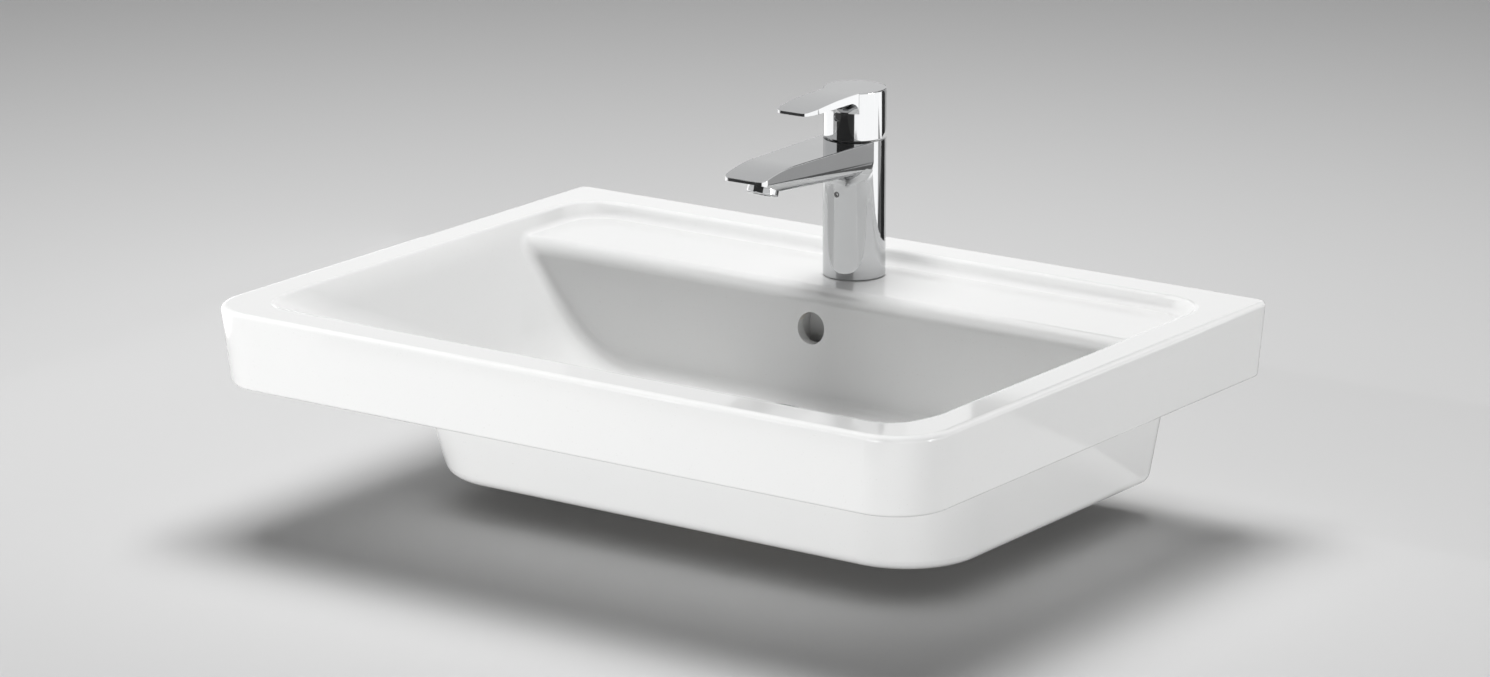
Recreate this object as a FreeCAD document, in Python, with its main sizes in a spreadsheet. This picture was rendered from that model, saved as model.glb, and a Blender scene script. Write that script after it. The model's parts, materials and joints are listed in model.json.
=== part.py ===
import FreeCAD, Part
import Sketcher
import os

# Semi recessed basin with a single-lever tap and a push-open waste.
# Millimetres. X is the width, +Y points to the wall, +Z is up.
# The origin is the middle of the basin's back face, level with the underside of the rim,
# which rests on the furniture.

Vector = FreeCAD.Vector

SIZES = [
    # basin rim
    ("basin_width", 650, "rim, left to right"),
    ("basin_depth", 484, "rim, wall face to front face"),
    ("rim_height", 60, "seat plane to rim top"),
    ("rim_side_draw", 5.7, "inward lean of the side faces over the rim height"),
    ("rim_front_draw", 4.5, "inward lean of the front face over the rim height"),
    ("rim_front_corner", 43, "plan radius of the front corners"),
    ("rim_back_corner", 8, "plan radius of the back corners"),
    ("rim_top_round", 4, "radius of the outer top edge"),
    ("rim_foot_round", 2.5, "radius of the outer bottom edge"),
    ("ceramic_wall", 11, "wall of the casting"),
    # recessed block under the rim
    ("block_width_top", 512, "width at the seat plane"),
    ("block_width_foot", 476, "width at its underside"),
    ("block_front_top", 352.5, "wall face to front at the seat plane"),
    ("block_front_foot", 334, "wall face to front at its underside"),
    ("block_back", 17, "wall face to the back of the block"),
    ("block_drop", 94, "seat plane to its underside"),
    ("block_corner", 66, "plan radius of the front corners"),
    ("block_back_corner", 16, "plan radius of the back corners"),
    ("block_foot_round", 11, "radius of the bottom edge"),
    ("skirt_wall", 15, "wall of the open skirt"),
    # bowl
    ("border_side", 29, "flat rim border at the sides"),
    ("border_front", 30, "flat rim border at the front"),
    ("border_back", 34, "flat rim border at the back"),
    ("bowl_drop", 102, "rim top to bowl floor"),
    ("side_slope", 47, "degrees, side walls of the bowl"),
    ("bowl_floor_front", 235.3, "wall face to where the front slope meets the floor"),
    ("wall_lean", 6, "degrees, back wall of the bowl"),
    ("bowl_corner_round", 60, "radius between the front slope and a side wall"),
    ("bowl_floor_round", 105, "radius between the slopes and the floor"),
    ("bowl_crease_round", 10, "radius along the back wall and round the ledge"),
    ("rim_inner_round", 5, "radius of the inner top edge"),
    # tap ledge
    ("ledge_drop", 10.7, "rim top to ledge"),
    ("ledge_front", 137, "wall face to the ledge's front edge"),
    ("ledge_back_lean", 30, "degrees, step behind the ledge"),
    ("ledge_corner_round", 46, "plan radius of the ledge's back corners"),
    ("ledge_edge_round", 13, "radius of the ledge's front edge"),
    # overflow and waste hole
    ("overflow_bore", 25, "overflow hole in the back wall"),
    ("overflow_drop", 42, "rim top to the overflow hole's centre"),
    ("channel_width", 30, "overflow channel, inside"),
    ("channel_depth", 14, "overflow channel, inside"),
    ("channel_front", 133, "wall face to the channel's front wall"),
    ("channel_wall", 9, "wall of the overflow channel"),
    ("channel_cover", 2.5, "overflow channel's top above the hole's edge"),
    ("drain_back", 200, "wall face to the waste's axis"),
    ("drain_bore", 46, "waste hole"),
    ("drain_boss", 72, "boss round the waste hole"),
    ("drain_boss_height", 42, "bowl floor to the boss's underside"),
    ("flange_recess", 70, "recess for the waste flange"),
    ("flange_recess_depth", 2.5, "depth of that recess"),
    # tap body
    ("tap_back", 81.4, "wall face to the tap's axis"),
    ("tap_hole", 35, "hole in the ledge"),
    ("column_width", 49, "diameter of the column and the lever hub"),
    ("body_height", 110, "ledge to the flat top of the body"),
    ("foot_round", 1.2, "radius at the column's foot"),
    ("spout_reach", 150, "tap axis to the spout's tip"),
    ("spout_root_width", 47, "width of the spout at the tap axis"),
    ("spout_tip_width", 38, "width of the spout's tip"),
    ("spout_root_depth", 27, "body top to the spout's underside at the tap axis"),
    ("spout_end_depth", 20.5, "body top to the spout's underside where it turns up"),
    ("spout_belly_end", 115, "tap axis to where the underside turns up to the tip"),
    ("spout_tip_drop", 6, "body top to the tip's upper edge"),
    ("spout_tip_depth", 8.6, "body top to the tip's lower edge"),
    ("spout_flat", 127, "tap axis to where the spout's top starts to fall"),
    ("spout_top_round", 150, "radius where it starts to fall"),
    ("spout_tip_corner", 6, "plan radius of the tip's corners"),
    ("spout_root_round", 14, "radius where the spout leaves the column"),
    ("spout_belly_round", 10.5, "radius of the spout's lower edges"),
    ("tap_edge_round", 0.6, "radius of the upper edges of the spout and the body"),
    ("outlet_reach", 123, "tap axis to the outlet's axis"),
    ("waterway", 9, "bore from the cartridge to the outlet"),
    ("waterway_drop", 9.5, "body top to the waterway's axis"),
    ("cartridge_bore", 36, "seat of the cartridge in the body"),
    ("cartridge_seat", 30, "body top to the floor of that seat"),
    ("inlet_bore", 10, "hose inlet"),
    ("inlet_depth", 14, "depth of a hose inlet"),
    ("inlet_pitch", 17, "between the two hose inlets"),
    ("inlet_front", 5, "tap axis to the inlets, towards the bowl"),
    ("supply_bore", 6, "passage from an inlet to the cartridge"),
    ("stud_bore", 8, "hole for the fixing stud"),
    ("stud_back", 9, "tap axis to the stud, towards the wall"),
    ("stud_depth", 15, "length of the stud in the body"),
    # aerator
    ("aerator_width", 24.5, "diameter of the aerator housing"),
    ("outlet_seat", 1.2, "depth of the flat seat cut for the housing"),
    ("aerator_show", 5, "length of the housing below the spout"),
    ("aerator_sunk", 5.5, "length of the housing inside the spout"),
    ("aerator_neck", 20.6, "diameter of the sunk length"),
    ("aerator_bore", 17.6, "inside of the housing"),
    ("aerator_lip", 1.6, "inward lip of the housing"),
    ("aerator_edge_round", 1.4, "radius of the housing's lower edge"),
    ("aerator_gasket_height", 1.5, "rubber washer above the insert"),
    ("aerator_gasket_bore", 12, "inside of that washer"),
    ("cell_width", 3.5, "cells of the insert"),
    ("cell_pitch", 5.2, "middle cell to the ring of cells"),
    # lever
    ("hub_gap", 1.2, "gap between the body top and the lever hub"),
    ("hub_height", 37.6, "height of the lever hub"),
    ("hub_wall", 3, "wall of the hub's skirt"),
    ("hub_hollow", 13.5, "depth of the hollow under the hub"),
    ("lever_edge_round", 0.8, "radius of the upper edge of the hub and the blade"),
    ("relief_slope", 28.5, "degrees, relief behind the pivot that lets the lever tip"),
    ("pivot_rise", 3, "body top to the lever's pivot"),
    ("blade_reach", 87, "tap axis to the blade's tip"),
    ("blade_width", 33, "width of the blade"),
    ("blade_tip_width", 26, "width of the blade's tip"),
    ("blade_bend", 26, "tap axis to where the blade's top starts to fall"),
    ("blade_narrow", 68, "tap axis to where the blade narrows"),
    ("blade_tip_corner", 5, "plan radius of the tip's corners"),
    ("blade_depth", 6.3, "hub top to the blade's underside"),
    ("blade_tip_fall", 4.1, "hub top to the tip's upper edge"),
    ("blade_root_round", 10, "radius where the blade leaves the hub"),
    ("plug_width", 7, "grub screw hole in the hub"),
    ("plug_drop", 19.5, "hub top to the grub screw's axis"),
    ("grub_length", 8, "length of the grub screw"),
    ("grub_width", 5, "diameter of the grub screw"),
    ("grub_key", 2.5, "its key, across flats"),
    ("grub_socket", 2.7, "depth of its socket"),
    ("plug_length", 3, "length of the plug over the grub screw"),
    ("plug_sunk", 1.5, "hub surface to the plug's face"),
    # cartridge
    ("cartridge_width", 35, "diameter of the cartridge"),
    ("cartridge_shoulder", 6, "body top to the cartridge's shoulder"),
    ("cartridge_neck", 26.5, "diameter of the cartridge's neck"),
    ("cartridge_rise", 4, "body top to the neck's upper face"),
    ("carrier_width", 21, "diameter of the turning carrier"),
    ("carrier_depth", 12, "body top to the carrier's foot"),
    ("carrier_rise", 7, "body top to the carrier's upper face"),
    ("stem_width", 7, "lever stem, across"),
    ("stem_thick", 9, "lever stem, front to back"),
    ("stem_below", 6, "pivot to the stem's foot"),
    ("stem_above", 24, "pivot to the stem's head"),
    ("slot_length", 16, "slot in the carrier, front to back"),
    ("slot_floor", 6, "carrier's foot to the slot's floor"),
    ("pin_width", 3, "pivot pin"),
    ("pin_length", 18, "pivot pin"),
    ("port_width", 6, "ports in the cartridge"),
    ("nut_height", 5.6, "cartridge nut"),
    ("cover_width", 40, "ring over the cartridge nut"),
    ("cover_height", 0.8, "thickness of that ring"),
    ("seal_height", 1.8, "height of the cartridge's rubber seals"),
    ("seal_width", 9, "outer diameter of those seals"),
    ("index_width", 4.6, "index ring on the column"),
    ("index_bore", 2.3, "inside of the index ring"),
    ("index_rise", 68, "ledge to the index ring"),
    ("index_depth", 0.8, "depth of the index ring's seat"),
    # tap fixing
    ("base_seal_width", 44, "rubber ring under the column"),
    ("base_seal_wall", 3, "its radial width"),
    ("base_seal_height", 2.5, "its height"),
    ("stud_width", 8, "fixing stud"),
    ("stud_length", 62, "length of the stud below the ledge"),
    ("horseshoe_width", 48, "horseshoe gasket and washer"),
    ("horseshoe_slot", 28, "slot for the hoses"),
    ("horseshoe_web", 2, "between that slot and the stud"),
    ("gasket_thick", 3, "horseshoe gasket"),
    ("washer_thick", 2, "horseshoe washer"),
    ("fixing_nut_width", 13, "fixing nut, across flats"),
    ("fixing_nut_height", 20, "tubular fixing nut"),
    # waste
    ("waste_width", 41.9, "threaded body, outer diameter"),
    ("waste_bore", 34, "threaded body, inside"),
    ("waste_length", 78, "flange top to the outlet's end"),
    ("outlet_width", 41.6, "thread that takes the trap, outer diameter"),
    ("outlet_thread", 13, "length of that thread"),
    ("outlet_groove", 2, "width of the groove above that thread"),
    ("outlet_groove_depth", 1, "depth of that groove"),
    ("flange_width", 64, "waste flange"),
    ("flange_thick", 3, "waste flange"),
    ("slot_width", 16, "overflow slots in the waste body"),
    ("slot_height", 14, "overflow slots in the waste body"),
    ("slot_drop", 27, "flange top to the slots' centre"),
    ("dish_width", 52, "dish in the flange for the plug's seal"),
    ("dish_depth", 1.8, "depth of that dish"),
    ("flange_seal_thick", 1.5, "rubber ring under the flange"),
    ("lower_gasket_height", 8, "tapered rubber ring under the boss"),
    ("lower_gasket_width", 62, "its outer diameter"),
    ("lower_gasket_spigot", 3, "length that enters the waste hole"),
    ("slip_washer_thick", 1.5, "plastic ring under the gasket"),
    ("backnut_width", 60, "backnut across flats"),
    ("backnut_height", 9, "backnut"),
    ("cross_drop", 50, "flange top to the bridge that holds the push mechanism"),
    ("cross_thick", 4, "thickness of the bridge"),
    ("cross_arm", 5, "width of a bridge arm"),
    ("cross_hub", 15, "diameter of the bridge's hub"),
    ("mechanism_width", 12, "push mechanism"),
    ("mechanism_length", 26, "push mechanism"),
    ("mechanism_floor", 5, "closed end of the push mechanism"),
    ("mechanism_shoulder", 1, "its step, which rests on the bridge"),
    ("plug_cap_width", 60, "waste plug"),
    ("plug_cap_thick", 3, "edge of the waste plug"),
    ("plug_cap_crown", 2.5, "rise of the plug's crown"),
    ("plug_cap_shoulder", 1.9, "rise of the crown at half its radius"),
    ("plug_stem_width", 6, "stem of the plug"),
    ("plug_stem_length", 42, "stem of the plug"),
    ("plug_seal_width", 48, "rubber ring under the plug"),
    ("plug_seal_wall", 3, "its radial width"),
    ("plug_seal_height", 2.2, "its height"),
    ("plug_boss_width", 12, "boss under the plug that takes the stem"),
    ("plug_boss_height", 8, "height of that boss"),
    # clearances
    ("moving_gap", 0.3, "between curved faces of pieces that move apart"),
    ("running_gap", 0.05, "radial, shaft in its bearing"),
    ("seat_gap", 0.1, "between fixed curved faces that fit together"),
    ("cut_over", 5, "run of a cut past the face that it opens"),
]

doc = FreeCAD.newDocument("SemiRecessedBasin")
sizes = doc.addObject("Spreadsheet::Sheet", "sizes")
for row, (alias, size, note) in enumerate(SIZES, start=1):
    sizes.set("A%d" % row, alias)
    sizes.set("B%d" % row, str(size))
    sizes.set("C%d" % row, note)
    sizes.setAlias("B%d" % row, alias)
doc.recompute()

NAMES = {alias for alias, size, note in SIZES}
PARTS = []
PICK_REACH = 0.6  # an edge is found when it passes a point this near


# ---------------------------------------------------------------- formulas

def bind(text):
    """A formula in size names, as an expression on the sheet's cells."""
    words = []
    word = ""
    for letter in text + " ":
        if letter.isalnum() or letter == "_":
            word += letter
            continue
        words.append("sizes." + word if word in NAMES else word)
        words.append(letter)
        word = ""
    return "".join(words).strip()


def number(text):
    """The present value of a formula in size names."""
    return float(sizes.evalExpression(bind(text)))


def slope(angle):
    return "tan(%s * 1 deg)" % angle


def cosine(angle):
    return "cos(%s * 1 deg)" % angle


def sine(angle):
    return "sin(%s * 1 deg)" % angle


# ---------------------------------------------------------------- building blocks

def tool_body(label, x="0", y="0", z="0", lean=None):
    """A body that only shapes another one. Its own origin lies at the given formulas, and
    lean is an angle that turns its foot forwards."""
    piece = doc.addObject("PartDesign::Body", label)
    piece.Label = label
    if lean:
        turn = FreeCAD.Rotation(Vector(-1, 0, 0), number(lean))
        piece.Placement = FreeCAD.Placement(Vector(0, 0, 0), turn)
        piece.setExpression("Placement.Rotation.Angle", bind(lean))
    for axis, formula in zip("xyz", (x, y, z)):
        piece.setExpression("Placement.Base." + axis, bind(formula))
    return piece


def body(label, x="0", y="0", z="0", lean=None):
    """A sub-part, placed as a tool body is."""
    piece = tool_body(label, x, y, z, lean)
    PARTS.append(piece)
    return piece


def combine(piece, name, kind, tool):
    """Cut a body with a tool body, or keep what they have in common."""
    feature = piece.newObject("PartDesign::Boolean", name)
    feature.Type = kind
    feature.Group = [tool]
    doc.recompute()
    return feature


def plane(piece, role):
    return [f for f in piece.Origin.OriginFeatures if f.Role == role][0]


def new_sketch(piece, name, role="XY_Plane", offset="0"):
    drawing = piece.newObject("Sketcher::SketchObject", name)
    drawing.AttachmentSupport = [(plane(piece, role), "")]
    drawing.MapMode = "FlatFace"
    drawing.setExpression("AttachmentOffset.Base.z", bind(offset))
    return drawing


def fix_point(drawing, geo, point, x, y):
    """Tie one point of a sketch to two formulas."""
    for kind, formula in (("DistanceX", x), ("DistanceY", y)):
        value = number(formula)
        index = drawing.addConstraint(Sketcher.Constraint(kind, -1, 1, geo, point, value))
        drawing.setExpression("Constraints[%d]" % index, bind(formula))


def arc_between(start, end, radius, hand):
    """An arc from start to end that bulges to the left (1) or the right (-1) of the way."""
    chord = end - start
    rise = radius - (radius ** 2 - (chord.Length / 2) ** 2) ** 0.5
    aside = Vector(-chord.y, chord.x, 0) * (hand / chord.Length)
    return Part.Arc(start, (start + end) * 0.5 + aside * rise, end)


def tangent_radius(run, fall):
    """Radius of an arc that leaves a line tangentially and falls from it over a run."""
    return "((%s) ^ 2 + (%s) ^ 2) / (2 * (%s))" % (run, fall, fall)


def polygon(piece, name, points, role="XY_Plane", offset="0", arcs={}):
    """A closed outline; each corner is a pair of formulas. Sides are straight, except those
    that arcs gives a radius formula and the hand that they bulge to."""
    drawing = new_sketch(piece, name, role, offset)
    places = [Vector(number(x), number(y), 0) for x, y in points]
    count = len(points)
    begins = []
    for i in range(count):
        start, end = places[i], places[(i + 1) % count]
        side = Part.LineSegment(start, end)
        if i in arcs:
            radius, hand = arcs[i]
            side = arc_between(start, end, number(radius), hand)
        drawing.addGeometry(side, False)
        first = drawing.getPoint(i, 1)
        begins.append(1 if first.distanceToPoint(start) < first.distanceToPoint(end) else 2)
    for i in range(count):
        after = (i + 1) % count
        join = Sketcher.Constraint("Coincident", i, 3 - begins[i], after, begins[after])
        drawing.addConstraint(join)
    for i, (x, y) in enumerate(points):
        fix_point(drawing, i, begins[i], x, y)
    for i, (radius, hand) in arcs.items():
        index = drawing.addConstraint(Sketcher.Constraint("Radius", i, number(radius)))
        drawing.setExpression("Constraints[%d]" % index, bind(radius))
    return drawing


def hexagon(across):
    """Corners of a hexagon given across its flats."""
    reach = "(%s) / 2 / cos(30 deg)" % across
    return [("%s * cos(%d deg)" % (reach, a), "%s * sin(%d deg)" % (reach, a))
            for a in range(0, 360, 60)]


def circles(piece, name, rounds, role="XY_Plane", offset="0"):
    """Circles given as (x, y, diameter) formulas."""
    drawing = new_sketch(piece, name, role, offset)
    for geo, (x, y, width) in enumerate(rounds):
        centre = Vector(number(x), number(y), 0)
        radius = number(width) / 2
        drawing.addGeometry(Part.Circle(centre, Vector(0, 0, 1), radius), False)
        index = drawing.addConstraint(Sketcher.Constraint("Diameter", geo, 2 * radius))
        drawing.setExpression("Constraints[%d]" % index, bind(width))
        fix_point(drawing, geo, 3, x, y)
    return drawing


def box_outline(half_width, low, high):
    """A rectangle, symmetrical left to right; low and high are its ends along the other way."""
    left = "-(%s)" % half_width
    return [(left, low), (half_width, low), (half_width, high), (left, high)]


def pad(piece, name, drawing, length, reverse=False, midplane=False):
    feature = piece.newObject("PartDesign::Pad", name)
    feature.Profile = drawing
    feature.Reversed = reverse
    feature.Midplane = midplane
    feature.setExpression("Length", bind(length))
    return feature


def pocket(piece, name, drawing, length, reverse=False, midplane=False):
    feature = piece.newObject("PartDesign::Pocket", name)
    feature.Profile = drawing
    feature.Reversed = reverse
    feature.Midplane = midplane
    feature.setExpression("Length", bind(length))
    doc.recompute()
    return feature


def set_wedge(feature, limits):
    for key, formula in limits.items():
        setattr(feature, key, number(formula))
        feature.setExpression(key, bind(formula))
    doc.recompute()


def wedge(piece, name, foot, head, cut=False):
    """A block with leaning faces. Each end is (z, half width, front, back), where front and
    back are distances in front of the wall face."""
    kind = "PartDesign::SubtractiveWedge" if cut else "PartDesign::AdditiveWedge"
    feature = piece.newObject(kind, name)
    feature.Placement = FreeCAD.Placement(Vector(0, 0, 0), FreeCAD.Rotation(Vector(1, 0, 0), 90))
    low_z, low_half, low_front, low_back = foot
    high_z, high_half, high_front, high_back = head
    limits = {
        "Ymin": low_z, "Xmin": "-" + low_half, "Xmax": low_half,
        "Zmin": low_back, "Zmax": low_front,
        "Ymax": high_z, "X2min": "-" + high_half, "X2max": high_half,
        "Z2min": high_back, "Z2max": high_front,
    }
    set_wedge(feature, limits)
    return feature


def beam(piece, name, far, near, cut=False):
    """A block with leaning faces along Y. Each end is (y, half width, low z, high z)."""
    kind = "PartDesign::SubtractiveWedge" if cut else "PartDesign::AdditiveWedge"
    feature = piece.newObject(kind, name)
    far_y, far_half, far_low, far_high = far
    near_y, near_half, near_low, near_high = near
    limits = {
        "Ymin": far_y, "Xmin": "-" + far_half, "Xmax": far_half,
        "Zmin": far_low, "Zmax": far_high,
        "Ymax": near_y, "X2min": "-" + near_half, "X2max": near_half,
        "Z2min": near_low, "Z2max": near_high,
    }
    set_wedge(feature, limits)
    return feature


def turned(piece, name, points, cut=False):
    """A ring or disc turned about the body's own Z axis from (radius, height) formulas."""
    drawing = polygon(piece, name + "_profile", points, "XZ_Plane")
    kind = "PartDesign::Groove" if cut else "PartDesign::Revolution"
    feature = piece.newObject(kind, name)
    feature.Profile = drawing
    feature.ReferenceAxis = (drawing, ["V_Axis"])
    feature.Angle = 360
    doc.recompute()
    return feature


def tube(inner, outer, low, high):
    """The half section of a ring; inner and outer are diameters."""
    near = "(%s) / 2" % inner
    far = "(%s) / 2" % outer
    return [(near, low), (far, low), (far, high), (near, high)]


def edges_at(piece, points):
    """Names of the edges of a body's present shape that pass the given points."""
    doc.recompute()
    shape = piece.Tip.Shape
    names = []
    for place in points:
        vertex = Part.Vertex(place)
        gaps = [(edge.distToShape(vertex)[0], i) for i, edge in enumerate(shape.Edges, 1)]
        gap, index = min(gaps)
        if gap > PICK_REACH:
            raise ValueError("no edge at %s, the nearest is %.2f away" % (place, gap))
        names.append("Edge%d" % index)
    return sorted(set(names))


def fillet(piece, name, points, radius):
    names = edges_at(piece, points)
    before = piece.Tip
    feature = piece.newObject("PartDesign::Fillet", name)
    feature.Base = (before, names)
    feature.setExpression("Radius", bind(radius))
    doc.recompute()
    if "Invalid" in feature.State or feature.Shape.isNull():
        raise ValueError("fillet %s failed" % name)
    return feature


def at(x, y, z):
    return Vector(number(x), number(y), number(z))


def middle(one, other):
    """The point half way between two corners given as formulas."""
    return (at(*one) + at(*other)) * 0.5


def mirrored(x, y, z):
    """The same corner right and left of the middle plane."""
    return [(x, y, z), ("-" + x, y, z)]


def corner_edges(foot, head, side):
    """Points half way up the right and left corner edges of a wedge, at its front or back."""
    pick = {"front": 2, "back": 3}[side]
    ends = [(end[1], "-" + end[pick], end[0]) for end in (foot, head)]
    return [middle(*pair) for pair in zip(mirrored(*ends[0]), mirrored(*ends[1]))]


# ---------------------------------------------------------------- basin

TOP = "rim_height"
LEDGE = "(rim_height - ledge_drop)"
FLOOR = "(rim_height - bowl_drop)"
BOWL_HALF = "(basin_width / 2 - border_side)"
BOWL_FRONT = "(basin_depth - border_front)"
FRONT_RUN = "(%s - bowl_floor_front)" % BOWL_FRONT
FRONT_SLANT = "sqrt(bowl_drop ^ 2 + %s ^ 2)" % FRONT_RUN
BOSS_FOOT = "(%s - drain_boss_height)" % FLOOR


def bowl_end(height, grown="0"):
    """The bowl's walls at a height, grown outwards by a wall thickness."""
    fall = "(rim_height - (%s))" % height
    half = "(%s - %s / %s + %s / %s)" % (
        BOWL_HALF, fall, slope("side_slope"), grown, sine("side_slope"))
    front = "(%s - (%s * %s - %s * %s) / bowl_drop)" % (
        BOWL_FRONT, fall, FRONT_RUN, grown, FRONT_SLANT)
    back = "(ledge_front + (%s - (%s)) * %s - %s / %s)" % (
        LEDGE, height, slope("wall_lean"), grown, cosine("wall_lean"))
    return height, half, front, back


def ledge_end(height):
    """The sunk area behind the bowl at a height, back to the step behind the ledge."""
    fall = "(rim_height - (%s))" % height
    half = "(%s - %s / %s)" % (BOWL_HALF, fall, slope("side_slope"))
    back = "(border_back + %s * %s)" % (fall, slope("ledge_back_lean"))
    return height, half, "(ledge_front + cut_over)", back


def rim_and_block(basin):
    foot = ("0", "(basin_width / 2 - rim_side_draw)", "(basin_depth - rim_front_draw)", "0")
    head = (TOP, "(basin_width / 2)", "basin_depth", "0")
    wedge(basin, "rim", foot, head)
    fillet(basin, "rim_front_corners", corner_edges(foot, head, "front"), "rim_front_corner")
    fillet(basin, "rim_back_corners", corner_edges(foot, head, "back"), "rim_back_corner")
    fillet(basin, "rim_top_edge", [at("0", "-basin_depth", TOP)], "rim_top_round")
    fillet(basin, "rim_foot_edge", [at("0", "-" + foot[2], "0")], "rim_foot_round")
    square = "(%s - rim_back_corner)" % foot[1]
    wedge(basin, "square_back_foot", ("0", square, "rim_foot_round", "0"),
          ("rim_foot_round", square, "rim_foot_round", "0"))

    foot = ("-block_drop", "(block_width_foot / 2)", "block_front_foot", "block_back")
    head = ("0", "(block_width_top / 2)", "block_front_top", "block_back")
    wedge(basin, "block", foot, head)
    fillet(basin, "block_front_corners", corner_edges(foot, head, "front"), "block_corner")
    fillet(basin, "block_back_corners", corner_edges(foot, head, "back"), "block_back_corner")
    fillet(basin, "block_foot_edge", [at("0", "-block_front_foot", "-block_drop")],
           "block_foot_round")


def hollow_core():
    """The space inside the casting: the open skirt and the rim's inside, less what stands
    in them, which is the bowl's outside, the overflow channel's casing and the waste boss."""
    core = tool_body("hollow_core")
    foot = ("-block_drop", "(block_width_foot / 2 - skirt_wall)",
            "(block_front_foot - skirt_wall)", "(block_back + skirt_wall)")
    head = ("(ceramic_wall + cut_over)", "(block_width_top / 2 - skirt_wall)",
            "(block_front_top - skirt_wall)", "(block_back + skirt_wall)")
    wedge(core, "skirt_inside", foot, head)
    fillet(core, "skirt_front_corners", corner_edges(foot, head, "front"),
           "block_corner - skirt_wall")
    foot = ("ceramic_wall", "(basin_width / 2 - rim_side_draw - ceramic_wall)",
            "(basin_depth - rim_front_draw - ceramic_wall)", "ceramic_wall")
    head = ("(%s - ceramic_wall)" % LEDGE,) + foot[1:]
    wedge(core, "rim_inside", foot, head)
    fillet(core, "rim_inside_corners", corner_edges(foot, head, "front"),
           "rim_front_corner - ceramic_wall")

    above = "(%s + ceramic_wall)" % LEDGE
    shell_foot = "(%s - ceramic_wall)" % FLOOR
    wedge(core, "shell", bowl_end(shell_foot, "ceramic_wall"),
          bowl_end(above, "ceramic_wall"), cut=True)
    half = "(channel_width / 2 + channel_wall)"
    back = "(channel_front - channel_depth - channel_wall)"
    wedge(core, "casing_run", (BOSS_FOOT, half, "drain_back", back),
          (FLOOR, half, "drain_back", back), cut=True)
    front = "(channel_front + channel_wall)"
    wedge(core, "casing_riser", (BOSS_FOOT, half, front, back),
          (above, half, front, back), cut=True)
    boss = circles(core, "boss_outline", [("0", "-drain_back", "drain_boss")],
                   offset=BOSS_FOOT)
    pocket(core, "boss", boss, "drain_boss_height", reverse=True)
    return core


def bowl_space():
    """The room in the bowl, with its front corners and the edge of its floor rounded."""
    space = tool_body("bowl_space")
    foot = bowl_end(FLOOR)
    head = bowl_end(TOP)
    wedge(space, "bowl", foot, head)
    fillet(space, "bowl_corners", corner_edges(foot, head, "front"), "bowl_corner_round")
    fillet(space, "bowl_floor_edge", [at("0", "-" + foot[2], FLOOR)], "bowl_floor_round")
    return space


def bowl_and_ledge(basin):
    combine(basin, "bowl_cut", "Cut", bowl_space())
    ledge_foot = ledge_end(LEDGE)
    ledge_head = ledge_end(TOP)
    wedge(basin, "ledge", ledge_foot, ledge_head, cut=True)

    fillet(basin, "ledge_edge", [at("0", "-ledge_front", LEDGE)], "ledge_edge_round")
    fillet(basin, "ledge_corners", corner_edges(ledge_foot, ledge_head, "back"),
           "ledge_corner_round")
    fillet(basin, "crease", [at("0", "-" + ledge_foot[3], LEDGE)], "bowl_crease_round")
    fillet(basin, "rim_inner_edge", [at("0", "-" + BOWL_FRONT, TOP)], "rim_inner_round")


def basin_holes(basin):
    overflow = circles(basin, "overflow_circle",
                       [("0", "rim_height - overflow_drop", "overflow_bore")], "XZ_Plane",
                       offset="channel_front - channel_depth / 2")
    hole_foot = "(rim_height - overflow_drop - overflow_bore / 2)"
    wall_face = bowl_end(hole_foot)[3]
    pocket(basin, "overflow_hole", overflow,
           "%s + cut_over - channel_front + channel_depth / 2" % wall_face, reverse=True)
    channel_head = "(rim_height - overflow_drop + overflow_bore / 2 + channel_cover)"
    channel_foot = "(%s + channel_wall)" % BOSS_FOOT
    riser = polygon(basin, "channel_riser_outline", box_outline(
        "channel_width / 2", "-channel_front", "-(channel_front - channel_depth)"),
        offset=channel_foot)
    pocket(basin, "channel_riser", riser, "%s - %s" % (channel_head, channel_foot),
           reverse=True)
    run = polygon(basin, "channel_run_outline", box_outline(
        "channel_width / 2", "-drain_back", "-(channel_front - channel_depth)"),
        offset=channel_foot)
    pocket(basin, "channel_run", run, "channel_depth", reverse=True)
    recess = circles(basin, "recess_circle", [("0", "-drain_back", "flange_recess")],
                     offset="%s - flange_recess_depth" % FLOOR)
    pocket(basin, "recess", recess, "flange_recess_depth + cut_over", reverse=True)
    drain = circles(basin, "drain_circle", [("0", "-drain_back", "drain_bore")],
                    offset=BOSS_FOOT)
    pocket(basin, "drain_hole", drain, "drain_boss_height", reverse=True)
    tap = circles(basin, "tap_circle", [("0", "-tap_back", "tap_hole")], offset=LEDGE)
    pocket(basin, "tap_hole_cut", tap, "ceramic_wall + cut_over")


def make_basin():
    basin = body("basin_ceramic")
    rim_and_block(basin)
    combine(basin, "hollow", "Cut", hollow_core())
    bowl_and_ledge(basin)
    basin_holes(basin)


# ---------------------------------------------------------------- tap body and spout

def tap_part(label, z=LEDGE):
    """A sub-part whose own Z axis is the tap's axis."""
    return body(label, "0", "-tap_back", z)


BODY_TOP = "(%s + body_height)" % LEDGE
RADIUS = "(column_width / 2)"


def spout_half(reach):
    """Half the spout's width at a reach from the tap axis."""
    return "((spout_root_width - (spout_root_width - spout_tip_width) * %s / spout_reach) / 2)" \
        % reach


UPTURN = "((spout_end_depth - spout_tip_depth) / (spout_reach - spout_belly_end))"
OUTLET_LEAN = "atan(%s)" % UPTURN


def upturn_depth(reach):
    """Body top to the underside at a reach on the stretch that turns up to the tip."""
    return "(spout_tip_depth + (spout_reach - %s) * %s)" % (reach, UPTURN)


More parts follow.
